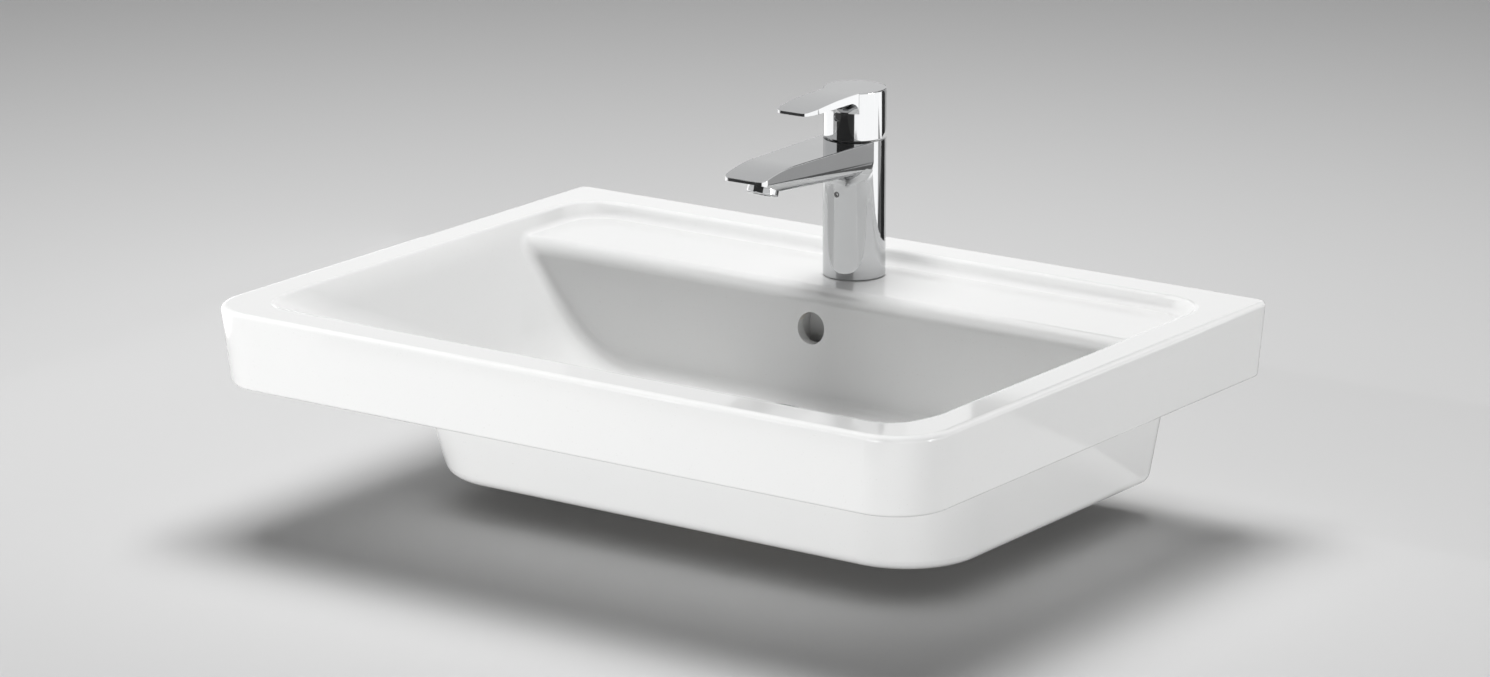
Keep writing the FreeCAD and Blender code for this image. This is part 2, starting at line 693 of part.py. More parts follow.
def make_spout(tap):
    """The spout: a beam with a round belly, whose top falls near the tip and whose underside
    is cut away to turn up to a thin edge."""
    top = "body_height"
    low_slope = "(spout_root_depth - spout_end_depth) / spout_belly_end"
    root = ("0", spout_half("0"), "(body_height - spout_root_depth)", top)
    fall = ("-spout_flat", spout_half("spout_flat"),
            "(body_height - spout_root_depth + spout_flat * %s)" % low_slope, top)
    tip = ("-spout_reach", "(spout_tip_width / 2)",
           "(body_height - spout_root_depth + spout_reach * %s)" % low_slope,
           "(body_height - spout_tip_drop)")
    beam(tap, "spout", fall, root)
    beam(tap, "spout_tip", tip, fall)
    fillet(tap, "spout_top", [at("0", fall[0], top)], "spout_top_round")
    half_way = "(spout_flat / 2)"
    low_z = "(body_height - spout_root_depth + %s * %s)" % (half_way, low_slope)
    low_edges = mirrored(spout_half(half_way), "-" + half_way, low_z)
    fillet(tap, "spout_belly", [at(*place) for place in low_edges], "spout_belly_round")
    past_tip = "(spout_reach + cut_over)"
    beam(tap, "spout_upturn",
         ("-" + past_tip, RADIUS, "0", "(body_height - %s)" % upturn_depth(past_tip)),
         ("-spout_belly_end", RADIUS, "0", "(body_height - spout_end_depth)"), cut=True)
    for name, side, hand in (("right_tip_corner", "", 1), ("left_tip_corner", "-", -1)):
        tip_corner(tap, name, side, hand)
    column = circles(tap, "column_circle", [("0", "0", "column_width")])
    pad(tap, "column", column, "body_height")
    root_z = "(body_height - spout_root_depth + %s * %s)" % (RADIUS, low_slope)
    fillet(tap, "spout_root", [at("0", "-" + RADIUS, root_z)], "spout_root_round")
    fillet(tap, "foot", [at("0", RADIUS, "0")], "foot_round")
    fillet(tap, "top_edge", [at("0", RADIUS, top)], "tap_edge_round")


def tip_corner(tap, name, side, hand):
    """Round one corner of the spout's tip in plan."""
    inner = side + "(spout_tip_width / 2 - spout_tip_corner)"
    outer = side + "(spout_tip_width / 2 + cut_over)"
    start = "-(spout_reach - spout_tip_corner)"
    past = "-(spout_reach + cut_over)"
    outline = polygon(tap, name + "_outline", [
        (side + spout_half("(spout_reach - spout_tip_corner)"), start),
        (inner, "-spout_reach"), (inner, past), (outer, past), (outer, start)],
        arcs={0: ("spout_tip_corner", hand)})
    pocket(tap, name, outline, "body_height + cut_over", reverse=True)


def outlet_space():
    """The room for the aerator, square to the underside that it leans with."""
    space = tool_body("outlet_space", "0", "-outlet_reach",
                      "body_height - %s" % upturn_depth("outlet_reach"), OUTLET_LEAN)
    seat = "(aerator_width / 2 + seat_gap)"
    neck = "(aerator_neck / 2 + seat_gap)"
    head = "(outlet_seat + aerator_sunk + aerator_gasket_height)"
    turned(space, "outlet_room", [
        ("0", "-cut_over"), (seat, "-cut_over"), (seat, "outlet_seat"), (neck, "outlet_seat"),
        (neck, head), ("0", head)])
    return space


def make_tap_body():
    tap = tap_part("tap_body")
    make_spout(tap)
    seat = circles(tap, "cartridge_circle", [("0", "0", "cartridge_bore")],
                   offset="body_height")
    pocket(tap, "cartridge_seat_cut", seat, "cartridge_seat")
    inlets = circles(tap, "inlet_circles", both_inlets("inlet_bore"))
    pocket(tap, "inlets", inlets, "inlet_depth", reverse=True)
    supplies = circles(tap, "supply_circles", both_inlets("supply_bore"))
    pocket(tap, "supplies", supplies, "body_height - cartridge_seat", reverse=True)
    stud = circles(tap, "stud_circle", [("0", "stud_back", "stud_bore + 2 * seat_gap")])
    pocket(tap, "stud_hole", stud, "stud_depth", reverse=True)
    seal_outer = "(base_seal_width + 2 * seat_gap)"
    seal_inner = "(base_seal_width - 2 * base_seal_wall - 2 * seat_gap)"
    turned(tap, "seal_groove", tube(seal_inner, seal_outer, "0", "base_seal_height"), cut=True)
    water = circles(tap, "water_circle", [("0", "body_height - waterway_drop", "waterway")],
                    "XZ_Plane")
    pocket(tap, "waterway_bore", water, "outlet_reach", reverse=True)
    combine(tap, "outlet", "Cut", outlet_space())
    index = circles(tap, "index_circle", [("0", "index_rise", "index_width + 2 * seat_gap")],
                    "XZ_Plane", offset="%s - index_depth" % RADIUS)
    pocket(tap, "index_seat", index, "index_depth + cut_over", reverse=True)


def both_inlets(width):
    """The two hose inlets, one each side of the middle plane."""
    return [(side + "inlet_pitch / 2", "-inlet_front", width) for side in ("", "-")]


def make_tap_fixing():
    piece = tap_part("tap_base_seal")
    turned(piece, "base_seal", tube("base_seal_width - 2 * base_seal_wall",
                                    "base_seal_width", "0", "base_seal_height"))
    stud = tap_part("fixing_stud")
    rod = circles(stud, "stud_rod_circle", [("0", "stud_back", "stud_width")],
                  offset="-stud_length")
    pad(stud, "stud_rod", rod, "stud_length + stud_depth")
    deck_foot = "(-ceramic_wall)"
    gasket_foot = "(%s - gasket_thick)" % deck_foot
    washer_foot = "(%s - washer_thick)" % gasket_foot
    horseshoe("horseshoe_gasket", gasket_foot, "gasket_thick")
    horseshoe("horseshoe_washer", washer_foot, "washer_thick")
    nut = body("fixing_nut", "0", "stud_back - tap_back",
               "%s + %s - fixing_nut_height" % (LEDGE, washer_foot))
    flats = polygon(nut, "nut_flats", hexagon("fixing_nut_width"))
    pad(nut, "nut_block", flats, "fixing_nut_height")
    bore = circles(nut, "nut_bore_circle", [("0", "0", "stud_width + 2 * seat_gap")])
    pocket(nut, "nut_bore", bore, "fixing_nut_height", reverse=True)


def horseshoe(label, foot, thick):
    """A disc with a slot that lets it slip round the hoses from the front."""
    piece = tap_part(label)
    disc = circles(piece, label + "_circle", [("0", "0", "horseshoe_width")], offset=foot)
    pad(piece, label + "_disc", disc, thick)
    slot_back = "(stud_back - stud_width / 2 - horseshoe_web)"
    slot = polygon(piece, label + "_slot_outline",
                   box_outline("horseshoe_slot / 2", "-horseshoe_width", slot_back),
                   offset=foot)
    pocket(piece, label + "_slot", slot, thick, reverse=True)
    hole = circles(piece, label + "_hole_circle", [
        ("0", "stud_back", "stud_width + 2 * seat_gap")], offset=foot)
    pocket(piece, label + "_hole", hole, thick, reverse=True)


def make_aerator():
    """Housing with an inward lip, the honeycomb insert and a washer above it. Their own
    origin lies on the spout's underside."""
    place = ("0", "-tap_back - outlet_reach",
             "%s - %s" % (BODY_TOP, upturn_depth("outlet_reach")), OUTLET_LEAN)
    wide = "aerator_width / 2"
    bore = "aerator_bore / 2"
    neck = "aerator_neck / 2"
    foot = "(-aerator_show)"
    lip_top = "(%s + aerator_lip)" % foot
    head = "(outlet_seat + aerator_sunk)"
    housing = body("aerator_housing", *place)
    turned(housing, "housing", [
        (bore + " - aerator_lip", foot), (wide, foot), (wide, "outlet_seat"),
        (neck, "outlet_seat"), (neck, head), (bore, head), (bore, lip_top),
        (bore + " - aerator_lip", lip_top)])
    fillet(housing, "housing_edge", [at(wide, "0", foot)], "aerator_edge_round")
    insert = body("aerator_insert", *place)
    insert_width = "(aerator_bore - 2 * seat_gap)"
    core = circles(insert, "insert_circle", [("0", "0", insert_width)], offset=lip_top)
    pad(insert, "insert_core", core, "%s - %s" % (head, lip_top))
    cells = circles(insert, "insert_cells", insert_cells(), offset=lip_top)
    pocket(insert, "cells", cells, "%s - %s" % (head, lip_top), reverse=True)
    gasket = body("aerator_gasket", *place)
    turned(gasket, "gasket", tube("aerator_gasket_bore", "aerator_neck", head,
                                  head + " + aerator_gasket_height"))


def insert_cells():
    """Round cells of the insert: one in the middle and a ring of six."""
    rounds = [("0", "0", "cell_width")]
    for angle in range(0, 360, 60):
        rounds.append(("cell_pitch * cos(%d deg)" % angle,
                       "cell_pitch * sin(%d deg)" % angle, "cell_width"))
    return rounds


def make_index_ring():
    piece = body("index_ring", "0", "-tap_back - %s + index_depth" % RADIUS,
                 "%s + index_rise" % LEDGE)
    ring_circles = circles(piece, "ring_circles", [
        ("0", "0", "index_width"), ("0", "0", "index_bore")], "XZ_Plane")
    pad(piece, "ring", ring_circles, "index_depth")


# ---------------------------------------------------------------- cartridge

BORE = "(carrier_width + 2 * running_gap)"
NECK_HOLE = "(cartridge_neck + 2 * seat_gap)"


def make_cartridge_body():
    cartridge = tap_part("cartridge_body", BODY_TOP)
    foot = "(seal_height - cartridge_seat)"
    neck = "cartridge_neck / 2"
    wide = "cartridge_width / 2"
    bore = BORE + " / 2"
    turned(cartridge, "cartridge", [
        ("0", foot), (wide, foot), (wide, "-cartridge_shoulder"),
        (neck, "-cartridge_shoulder"), (neck, "cartridge_rise"), (bore, "cartridge_rise"),
        (bore, "-carrier_depth"), ("0", "-carrier_depth")])
    ports = circles(cartridge, "port_circles", both_inlets("port_width"), offset=foot)
    pocket(cartridge, "ports", ports, "-carrier_depth - %s" % foot, reverse=True)
    outlet = circles(cartridge, "outlet_port_circle", [
        ("0", "-carrier_depth - port_width / 2", "port_width")], "XZ_Plane")
    pocket(cartridge, "outlet_port", outlet, wide, reverse=True)


def make_cartridge_rings():
    """The two port seals, the nut that holds the cartridge and the ring that covers it."""
    for label, side in (("hot_port_seal", "-"), ("cold_port_seal", "")):
        seal = body(label, side + "inlet_pitch / 2", "-tap_back - inlet_front",
                    "%s - cartridge_seat" % BODY_TOP)
        turned(seal, label + "_ring", tube("port_width", "seal_width", "0", "seal_height"))
    nut = tap_part("cartridge_nut", BODY_TOP)
    turned(nut, "nut_ring", tube(NECK_HOLE, "cartridge_bore - 2 * seat_gap",
                                 "-cartridge_shoulder", "nut_height - cartridge_shoulder"))
    cover = tap_part("nut_cover", BODY_TOP)
    turned(cover, "cover_ring", tube(NECK_HOLE, "cover_width", "0", "cover_height"))


def make_carrier():
    """The carrier turns in the cartridge and holds the pin that the stem tips on."""
    carrier = tap_part("cartridge_carrier", BODY_TOP)
    block = circles(carrier, "carrier_circle", [("0", "0", "carrier_width")],
                    offset="-carrier_depth")
    pad(carrier, "carrier", block, "carrier_depth + carrier_rise")
    slot = polygon(carrier, "slot_outline", box_outline(
        "(stem_width / 2 + moving_gap)", "-slot_length / 2", "slot_length / 2"),
        offset="carrier_rise")
    pocket(carrier, "slot", slot, "carrier_depth + carrier_rise - slot_floor")
    pin_hole = circles(carrier, "pin_hole_circle", [
        ("0", "pivot_rise", "pin_width + 2 * running_gap")], "YZ_Plane")
    pocket(carrier, "pin_hole", pin_hole, "carrier_width + 2 * cut_over", midplane=True)

    pin = tap_part("stem_pin", BODY_TOP)
    shaft = circles(pin, "pin_circle", [("0", "pivot_rise", "pin_width")], "YZ_Plane")
    pad(pin, "pin", shaft, "pin_length", midplane=True)


def make_stem():
    stem = tap_part("cartridge_stem", "%s + pivot_rise" % BODY_TOP)
    bar = polygon(stem, "stem_outline", box_outline(
        "stem_width / 2", "-stem_thick / 2", "stem_thick / 2"), offset="-stem_below")
    pad(stem, "stem", bar, "stem_below + stem_above")
    eye = circles(stem, "eye_circle", [("0", "0", "pin_width + 2 * running_gap")], "YZ_Plane")
    pocket(stem, "eye", eye, "stem_width + 2 * cut_over", midplane=True)


# ---------------------------------------------------------------- lever

LEVER_TOP = "(hub_gap + hub_height)"
BLADE_FOOT = "(%s - blade_depth)" % LEVER_TOP
BLADE_HALF = "(blade_width / 2)"


def blade_plan():
    """The blade's outline from above, as deep as the lever."""
    plan = tool_body("blade_plan")
    tip_half = "(blade_tip_width / 2)"
    side = tangent_radius("blade_reach - blade_narrow", "(blade_width - blade_tip_width) / 2")
    outline = polygon(plan, "blade_plan_outline", [
        ("-" + BLADE_HALF, "cut_over"), ("-" + BLADE_HALF, "-blade_narrow"),
        ("-" + tip_half, "-blade_reach"), (tip_half, "-blade_reach"),
        (BLADE_HALF, "-blade_narrow"), (BLADE_HALF, "cut_over")],
        arcs={1: (side, -1), 3: (side, -1)})
    pad(plan, "blade_plan_block", outline, LEVER_TOP + " + cut_over")
    return plan


def make_blade(lever):
    """The blade: flat from the hub, then bent down in an arc to its thin tip."""
    tip_top = "(%s - blade_tip_fall)" % LEVER_TOP
    bend = tangent_radius("blade_reach - blade_bend", "blade_tip_fall")
    profile = polygon(lever, "blade_profile", [
        ("-blade_reach", BLADE_FOOT), ("0", BLADE_FOOT), ("0", LEVER_TOP),
        ("-blade_bend", LEVER_TOP), ("-blade_reach", tip_top)],
        "YZ_Plane", arcs={3: (bend, -1)})
    pad(lever, "blade", profile, "blade_width", midplane=True)
    combine(lever, "blade_sides", "Common", blade_plan())
    tip_z = "(%s - (blade_tip_fall + blade_depth) / 2)" % LEVER_TOP
    corners = mirrored("blade_tip_width / 2", "-blade_reach", tip_z)
    fillet(lever, "blade_tip_corners", [at(*place) for place in corners], "blade_tip_corner")


def make_lever():
    lever = tap_part("lever_handle", BODY_TOP)
    make_blade(lever)
    hub = circles(lever, "hub_circle", [("0", "0", "column_width")], offset="hub_gap")
    pad(lever, "hub", hub, "hub_height")
    fillet(lever, "blade_root", [at("0", "-" + RADIUS, BLADE_FOOT)], "blade_root_round")
    fillet(lever, "lever_edge", [at("0", RADIUS, LEVER_TOP)], "lever_edge_round")
    hollow_hub(lever)
    screw_holes(lever)


def hollow_hub(lever):
    """The hollow under the hub, the relief at its back and the stem's socket."""
    hollow = circles(lever, "hollow_circle", [("0", "0", "column_width - 2 * hub_wall")],
                     offset="hub_gap")
    pocket(lever, "hub_hollow_cut", hollow, "hub_hollow", reverse=True)
    back = "(%s + cut_over)" % RADIUS
    relief_head = "(hub_gap + %s * %s)" % (back, slope("relief_slope"))
    beam(lever, "relief", ("0", back, "0", "hub_gap"), (back, back, "0", relief_head), cut=True)
    socket_deep = "(stem_thick / 2 + seat_gap)"
    socket = polygon(lever, "socket_outline", box_outline(
        "(stem_width / 2 + seat_gap)", "-" + socket_deep, socket_deep), offset="hub_gap")
    pocket(lever, "socket", socket, "pivot_rise + stem_above + seat_gap - hub_gap",
           reverse=True)


SCREW_AXIS = "(%s - plug_drop)" % LEVER_TOP


def screw_holes(lever):
    screw = circles(lever, "screw_circle", [("0", SCREW_AXIS, "grub_width + 2 * seat_gap")],
                    "XZ_Plane")
    pocket(lever, "screw_hole", screw, RADIUS, reverse=True)
    plug = circles(lever, "plug_circle", [("0", SCREW_AXIS, "plug_width + 2 * seat_gap")],
                   "XZ_Plane", offset="%s - plug_sunk - plug_length" % RADIUS)
    pocket(lever, "plug_hole", plug, "plug_length + plug_sunk + cut_over", reverse=True)


def make_lever_screw():
    """The grub screw that clamps the stem, and the plug that hides it."""
    axis_z = "%s + %s" % (BODY_TOP, SCREW_AXIS)
    screw = body("grub_screw", "0", "-tap_back - stem_thick / 2", axis_z)
    shaft = circles(screw, "grub_circle", [("0", "0", "grub_width")], "XZ_Plane")
    pad(screw, "grub", shaft, "grub_length")
    drive = polygon(screw, "grub_drive", hexagon("grub_key"), "XZ_Plane",
                    offset="grub_length")
    pocket(screw, "drive", drive, "grub_socket")
    plug = body("screw_plug", "0", "-tap_back - %s + plug_sunk + plug_length" % RADIUS, axis_z)
    disc = circles(plug, "plug_disc_circle", [("0", "0", "plug_width")], "XZ_Plane")
    pad(plug, "plug_disc", disc, "plug_length")


# ---------------------------------------------------------------- waste

FLANGE_FOOT = "(%s - flange_recess_depth + flange_seal_thick)" % FLOOR
BRIDGE_FOOT = "(flange_thick - cross_drop)"
THREAD_HOLE = "(waste_width + 2 * seat_gap)"


def waste_part(label):
    """A sub-part on the waste's axis, with its own origin at the flange's underside."""
    return body(label, "0", "-drain_back", FLANGE_FOOT)


def make_waste_body():
    waste = waste_part("waste_body")
    outer = "waste_width / 2"
    bore = "waste_bore / 2"
    end = "(flange_thick - waste_length)"
    dish = "(flange_thick - dish_depth)"
    rim = "flange_width / 2"
    thread = "outlet_width / 2"
    groove = "(waste_width / 2 - outlet_groove_depth)"
    thread_top = "(%s + outlet_thread)" % end
    groove_top = "(%s + outlet_groove)" % thread_top
    turned(waste, "waste_tube", [
        (bore, end), (thread, end), (thread, thread_top), (groove, thread_top),
        (groove, groove_top), (outer, groove_top), (outer, "0"), (rim, "0"),
        (rim, "flange_thick / 2"), (rim + " - flange_thick / 2", "flange_thick"),
        ("dish_width / 2", "flange_thick"), ("dish_width / 2 - dish_depth", dish), (bore, dish)])
    bridge(waste)
    slot_z = "(flange_thick - slot_drop)"
    slot = polygon(waste, "slot_outline", box_outline(
        "slot_width / 2", slot_z + " - slot_height / 2", slot_z + " + slot_height / 2"),
        "XZ_Plane")
    pocket(waste, "slots", slot, "waste_width + 2 * cut_over", midplane=True)


def bridge(waste):
    """The cross inside the waste that carries the push mechanism."""
    hub = circles(waste, "bridge_hub_circle", [("0", "0", "cross_hub")], offset=BRIDGE_FOOT)
    pad(waste, "bridge_hub", hub, "cross_thick")
    reach = "((waste_width + waste_bore) / 4)"
    for name, half_x, half_y in (("arm_across", reach, "cross_arm / 2"),
                                 ("arm_along", "cross_arm / 2", reach)):
        arm = polygon(waste, name + "_outline", box_outline(half_x, "-" + half_y, half_y),
                      offset=BRIDGE_FOOT)
        pad(waste, name, arm, "cross_thick")
    hole = circles(waste, "bridge_hole_circle", [
        ("0", "0", "mechanism_width + 2 * seat_gap")], offset=BRIDGE_FOOT)
    pocket(waste, "bridge_hole", hole, "cross_thick", reverse=True)


def make_waste_fixing():
    """What clamps the waste: a ring under its flange, and gasket, ring and nut under the boss."""
    seal = waste_part("flange_seal")
    turned(seal, "seal_ring", tube(THREAD_HOLE, "flange_width - flange_thick",
                                   "-flange_seal_thick", "0"))
    boss_foot = "(%s - %s)" % (BOSS_FOOT, FLANGE_FOOT)
    gasket_foot = "(%s - lower_gasket_height)" % boss_foot
    gasket = waste_part("lower_gasket")
    inner = THREAD_HOLE + " / 2"
    spigot = "(drain_bore / 2 - moving_gap)"
    brim = "lower_gasket_width / 2"
    turned(gasket, "gasket_ring", [
        (inner, gasket_foot), (brim + " - lower_gasket_height / 2", gasket_foot),
        (brim, boss_foot + " - lower_gasket_height / 2"), (brim, boss_foot),
        (spigot, boss_foot), (spigot, boss_foot + " + lower_gasket_spigot"),
        (inner, boss_foot + " + lower_gasket_spigot")])
    washer_foot = "(%s - slip_washer_thick)" % gasket_foot
    washer = waste_part("slip_washer")
    turned(washer, "washer_ring", tube(THREAD_HOLE, "backnut_width - slip_washer_thick",
                                       washer_foot, gasket_foot))
    nut = waste_part("waste_backnut")
    nut_foot = "(%s - backnut_height)" % washer_foot
    flats = polygon(nut, "backnut_flats", hexagon("backnut_width"), offset=nut_foot)
    pad(nut, "backnut", flats, "backnut_height")
    bore = circles(nut, "backnut_bore_circle", [("0", "0", THREAD_HOLE)], offset=nut_foot)
    pocket(nut, "backnut_bore", bore, "backnut_height", reverse=True)


def make_push_mechanism():
    mechanism = waste_part("push_mechanism")
    head = "(%s + mechanism_length)" % BRIDGE_FOOT
    slide = "(plug_stem_width / 2 + running_gap)"
    shoulder = "(mechanism_width / 2 + mechanism_shoulder)"
    bridge_head = "(%s + cross_thick)" % BRIDGE_FOOT
    slide_foot = "(%s + mechanism_floor)" % BRIDGE_FOOT
    turned(mechanism, "mechanism", [
        ("0", BRIDGE_FOOT), ("mechanism_width / 2", BRIDGE_FOOT),
        ("mechanism_width / 2", bridge_head), (shoulder, bridge_head),
        (shoulder, head), (slide, head), (slide, slide_foot), ("0", slide_foot)])


def make_plug():
    """The plug shut: its seal stands in the flange's dish."""
    under = "(flange_thick - dish_depth + plug_seal_height)"
    cap = waste_part("waste_plug")
    rim = "plug_cap_width / 2"
    stem = "(plug_stem_width / 2 + seat_gap)"
    boss_foot = "(%s - plug_boss_height)" % under
    turned(cap, "cap", [
        (stem, boss_foot), ("plug_boss_width / 2", boss_foot), ("plug_boss_width / 2", under),
        (rim, under), (rim, under + " + plug_cap_thick"),
        (rim + " / 2", under + " + plug_cap_thick + plug_cap_shoulder"),
        ("0", under + " + plug_cap_thick + plug_cap_crown"), ("0", under), (stem, under)])
    rod = waste_part("plug_stem")
    circle = circles(rod, "rod_circle", [("0", "0", "plug_stem_width")],
                     offset="%s - plug_stem_length" % under)
    pad(rod, "rod", circle, "plug_stem_length")
    seal = waste_part("plug_seal")
    turned(seal, "plug_seal_ring", tube("plug_seal_width - 2 * plug_seal_wall",
                                        "plug_seal_width", under + " - plug_seal_height",
                                        under))


# ---------------------------------------------------------------- checks and files

def check_document():
    doc.recompute()
    for item in doc.Objects:
        if "Invalid" in item.State or "Error" in item.State:
            raise ValueError("%s failed: %s" % (item.Name, item.State))
    for piece in PARTS:
        if piece.Shape.isNull() or not piece.Shape.isValid() or not piece.Shape.Solids:
            raise ValueError("%s has no valid solid" % piece.Label)


def write_parts():
    os.makedirs("parts", exist_ok=True)
    for piece in PARTS:
        piece.Shape.exportStep("parts/%s.step" % piece.Label)
        print("%-22s %3d solids %12.1f mm3" % (
            piece.Label, len(piece.Shape.Solids), piece.Shape.Volume))


make_basin()
make_tap_body()
make_tap_fixing()
make_aerator()
make_index_ring()
make_cartridge_body()
make_cartridge_rings()
make_carrier()
make_stem()
make_lever()
make_lever_screw()
make_waste_body()
make_waste_fixing()
make_push_mechanism()
make_plug()
check_document()
write_parts()
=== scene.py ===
import json

import bpy
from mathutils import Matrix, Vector


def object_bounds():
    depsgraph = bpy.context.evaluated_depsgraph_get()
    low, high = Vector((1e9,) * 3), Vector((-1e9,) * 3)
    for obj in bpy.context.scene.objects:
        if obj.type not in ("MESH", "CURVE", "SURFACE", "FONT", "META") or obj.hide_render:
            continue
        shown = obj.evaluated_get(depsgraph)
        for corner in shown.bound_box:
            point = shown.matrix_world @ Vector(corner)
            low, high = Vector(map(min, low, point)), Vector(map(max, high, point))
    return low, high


# Semi recessed basin with a single-lever tap: looks, floor, light and camera.
# Metres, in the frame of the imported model. X is the width, +Y points to the wall, +Z is up.

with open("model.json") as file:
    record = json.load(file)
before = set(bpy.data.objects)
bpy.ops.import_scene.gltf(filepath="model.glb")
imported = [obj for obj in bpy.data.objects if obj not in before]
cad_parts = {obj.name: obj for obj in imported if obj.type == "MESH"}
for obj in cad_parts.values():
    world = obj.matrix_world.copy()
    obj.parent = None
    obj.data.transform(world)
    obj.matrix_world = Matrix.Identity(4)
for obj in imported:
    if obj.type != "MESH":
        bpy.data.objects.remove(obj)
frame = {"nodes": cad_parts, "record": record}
cad_low, cad_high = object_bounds()
nodes = frame["nodes"]
scene = bpy.context.scene
scene.view_settings.view_transform = "Standard"

MM = 0.001
WHITE = (1, 1, 1, 1)


# ---------------------------------------------------------------- camera

PHOTO_WIDTH = 1490
FOCAL_PIXELS = 5490
SENSOR = 36.0
CAMERA_PLACE = Vector((2.322, -3.513, 1.108))
CAMERA_TARGET = Vector((0.0082, -0.2400, 0.03295))


def set_up(name, data, place, target):
    """Puts a camera or a lamp in the scene, turned to look at the target."""
    piece = bpy.data.objects.new(name, data)
    piece.location = place
    piece.rotation_euler = (target - place).to_track_quat("-Z", "Y").to_euler()
    scene.collection.objects.link(piece)
    return piece


def make_camera():
    lens = bpy.data.cameras.new("camera")
    lens.sensor_width = SENSOR
    lens.lens = FOCAL_PIXELS * SENSOR / PHOTO_WIDTH
    lens.clip_start = 0.05
    lens.clip_end = 50
    scene.camera = set_up("camera", lens, CAMERA_PLACE, CAMERA_TARGET)


# ---------------------------------------------------------------- shader maths

class Wire:
    """A node's output. Arithmetic on it adds Math nodes to its finish."""

    def __init__(self, finish, socket):
        self.finish = finish
        self.socket = socket

    def math(self, operation, *others):
        return self.finish.math(operation, self, *others)

    def __add__(self, other):
        return self.math("ADD", other)

    __radd__ = __add__

    def __sub__(self, other):
        return self.math("SUBTRACT", other)

    def __rsub__(self, other):
        return self.finish.math("SUBTRACT", other, self)

    def __mul__(self, other):
        return self.math("MULTIPLY", other)

    __rmul__ = __mul__

    def __neg__(self):
        return self * -1.0

    def __abs__(self):
        return self.math("ABSOLUTE")

    def above(self, level, soft):
        """0 below the level, 1 above it, with a smooth step this soft on each side."""
        settings = {"clamp": True, "interpolation_type": "SMOOTHSTEP"}
        return self.finish.node("ShaderNodeMapRange", settings, {
            "Value": self, "From Min": level - soft, "From Max": level + soft})


class Finish:
    """A material or a world, and the means to wire its nodes."""

    def __init__(self, owner, shader="Principled BSDF"):
        owner.use_nodes = True
        self.owner = owner
        self.tree = owner.node_tree
        self.shader = self.tree.nodes[shader]

    def node(self, kind, settings=None, inputs=None, output=0):
        """Adds a node: its settings first, then its sockets' values or links."""
        made = self.tree.nodes.new(kind)
        for key, value in (settings or {}).items():
            setattr(made, key, value)
        for key, value in (inputs or {}).items():
            self.put(made.inputs[key], value)
        return Wire(self, made.outputs[output])

    def put(self, socket, value):
        if isinstance(value, Wire):
            self.tree.links.new(value.socket, socket)
        else:
            socket.default_value = value

    def math(self, operation, *values):
        return self.node("ShaderNodeMath", {"operation": operation}, dict(enumerate(values)))

    def mix(self, share, first, second):
        """Colour first where share is 0, second where it is 1."""
        return self.node("ShaderNodeMix", {"data_type": "RGBA"}, {
            0: share, 6: first, 7: second}, output=2)

    def between(self, share, low, high):
        """The number low where share is 0, high where it is 1."""
        return self.node("ShaderNodeMapRange", None, {
            "Value": share, "To Min": low, "To Max": high})

    def ray(self, kind):
        """1 where the light path's ray is of this kind."""
        return self.node("ShaderNodeLightPath", output="Is %s Ray" % kind)

    def place(self):
        """The point on the piece, in metres."""
        return self.node("ShaderNodeTexCoord", output="Object")

    def stretched(self, scale):
        """The point on the piece, scaled along each axis."""
        return self.node("ShaderNodeMapping", None, {"Vector": self.place(), "Scale": scale})

    def split(self, vector):
        """The three parts of a vector."""
        made = self.node("ShaderNodeSeparateXYZ", None, {"Vector": vector})
        return [Wire(self, output) for output in made.socket.node.outputs]

    def noise(self, size, detail=2.0, vector=None):
        """Cloudy values round 0.5, with lumps of about this size in metres."""
        return self.node("ShaderNodeTexNoise", {"noise_dimensions": "3D"}, {
            "Vector": vector or self.place(), "Scale": 1 / size, "Detail": detail})

    def bump(self, height, depth, before=None):
        """A normal from a height of 0 to 1 that stands for this depth in metres."""
        inputs = {"Height": height, "Strength": 1.0, "Distance": depth}
        if before:
            inputs["Normal"] = before
        return self.node("ShaderNodeBump", None, inputs)

    def set(self, **inputs):
        """Gives the shader's sockets their values or links, by name."""
        for key, value in inputs.items():
            self.put(self.shader.inputs[key.replace("_", " ")], value)
        return self


def new_finish(name):
    return Finish(bpy.data.materials.new(name))


def grey(level, warm=0.0):
    """A nearly neutral colour; warm lifts red over blue."""
    return (level + warm, level, level - warm, 1.0)


# ---------------------------------------------------------------- finishes

# The middle of the recessed block's wall, in plan: the centres of its two front corners and
# its distance from them.
CORNER_X = 178 * MM
CORNER_Y = 275 * MM
SKIRT_MIDDLE = 53.5 * MM
HOLLOW_TOP = -46 * MM
BACK_FACE = cad_high.y - 0.8 * MM
FACING_DOWN = -0.35


def bare_clay(finish):
    """1 where the casting has no glaze: inside the block, under the bowl and on the back."""
    x, y, z = finish.split(finish.place())
    up = finish.split(finish.node("ShaderNodeNewGeometry", output="Normal"))[2]
    aside = finish.math("MAXIMUM", abs(x) - CORNER_X, 0.0)
    ahead = finish.math("MAXIMUM", -y - CORNER_Y, 0.0)
    from_corner = (aside * aside + ahead * ahead).math("SQRT")
    inside = 1 - from_corner.above(SKIRT_MIDDLE, soft=1 * MM)
    hollow = inside * (1 - z.above(HOLLOW_TOP, soft=1 * MM))
    under = inside * (1 - up.above(FACING_DOWN, soft=0.05))
    back = y.above(BACK_FACE, soft=0.3 * MM)
    return finish.math("MAXIMUM", finish.math("MAXIMUM", hollow, under), back)


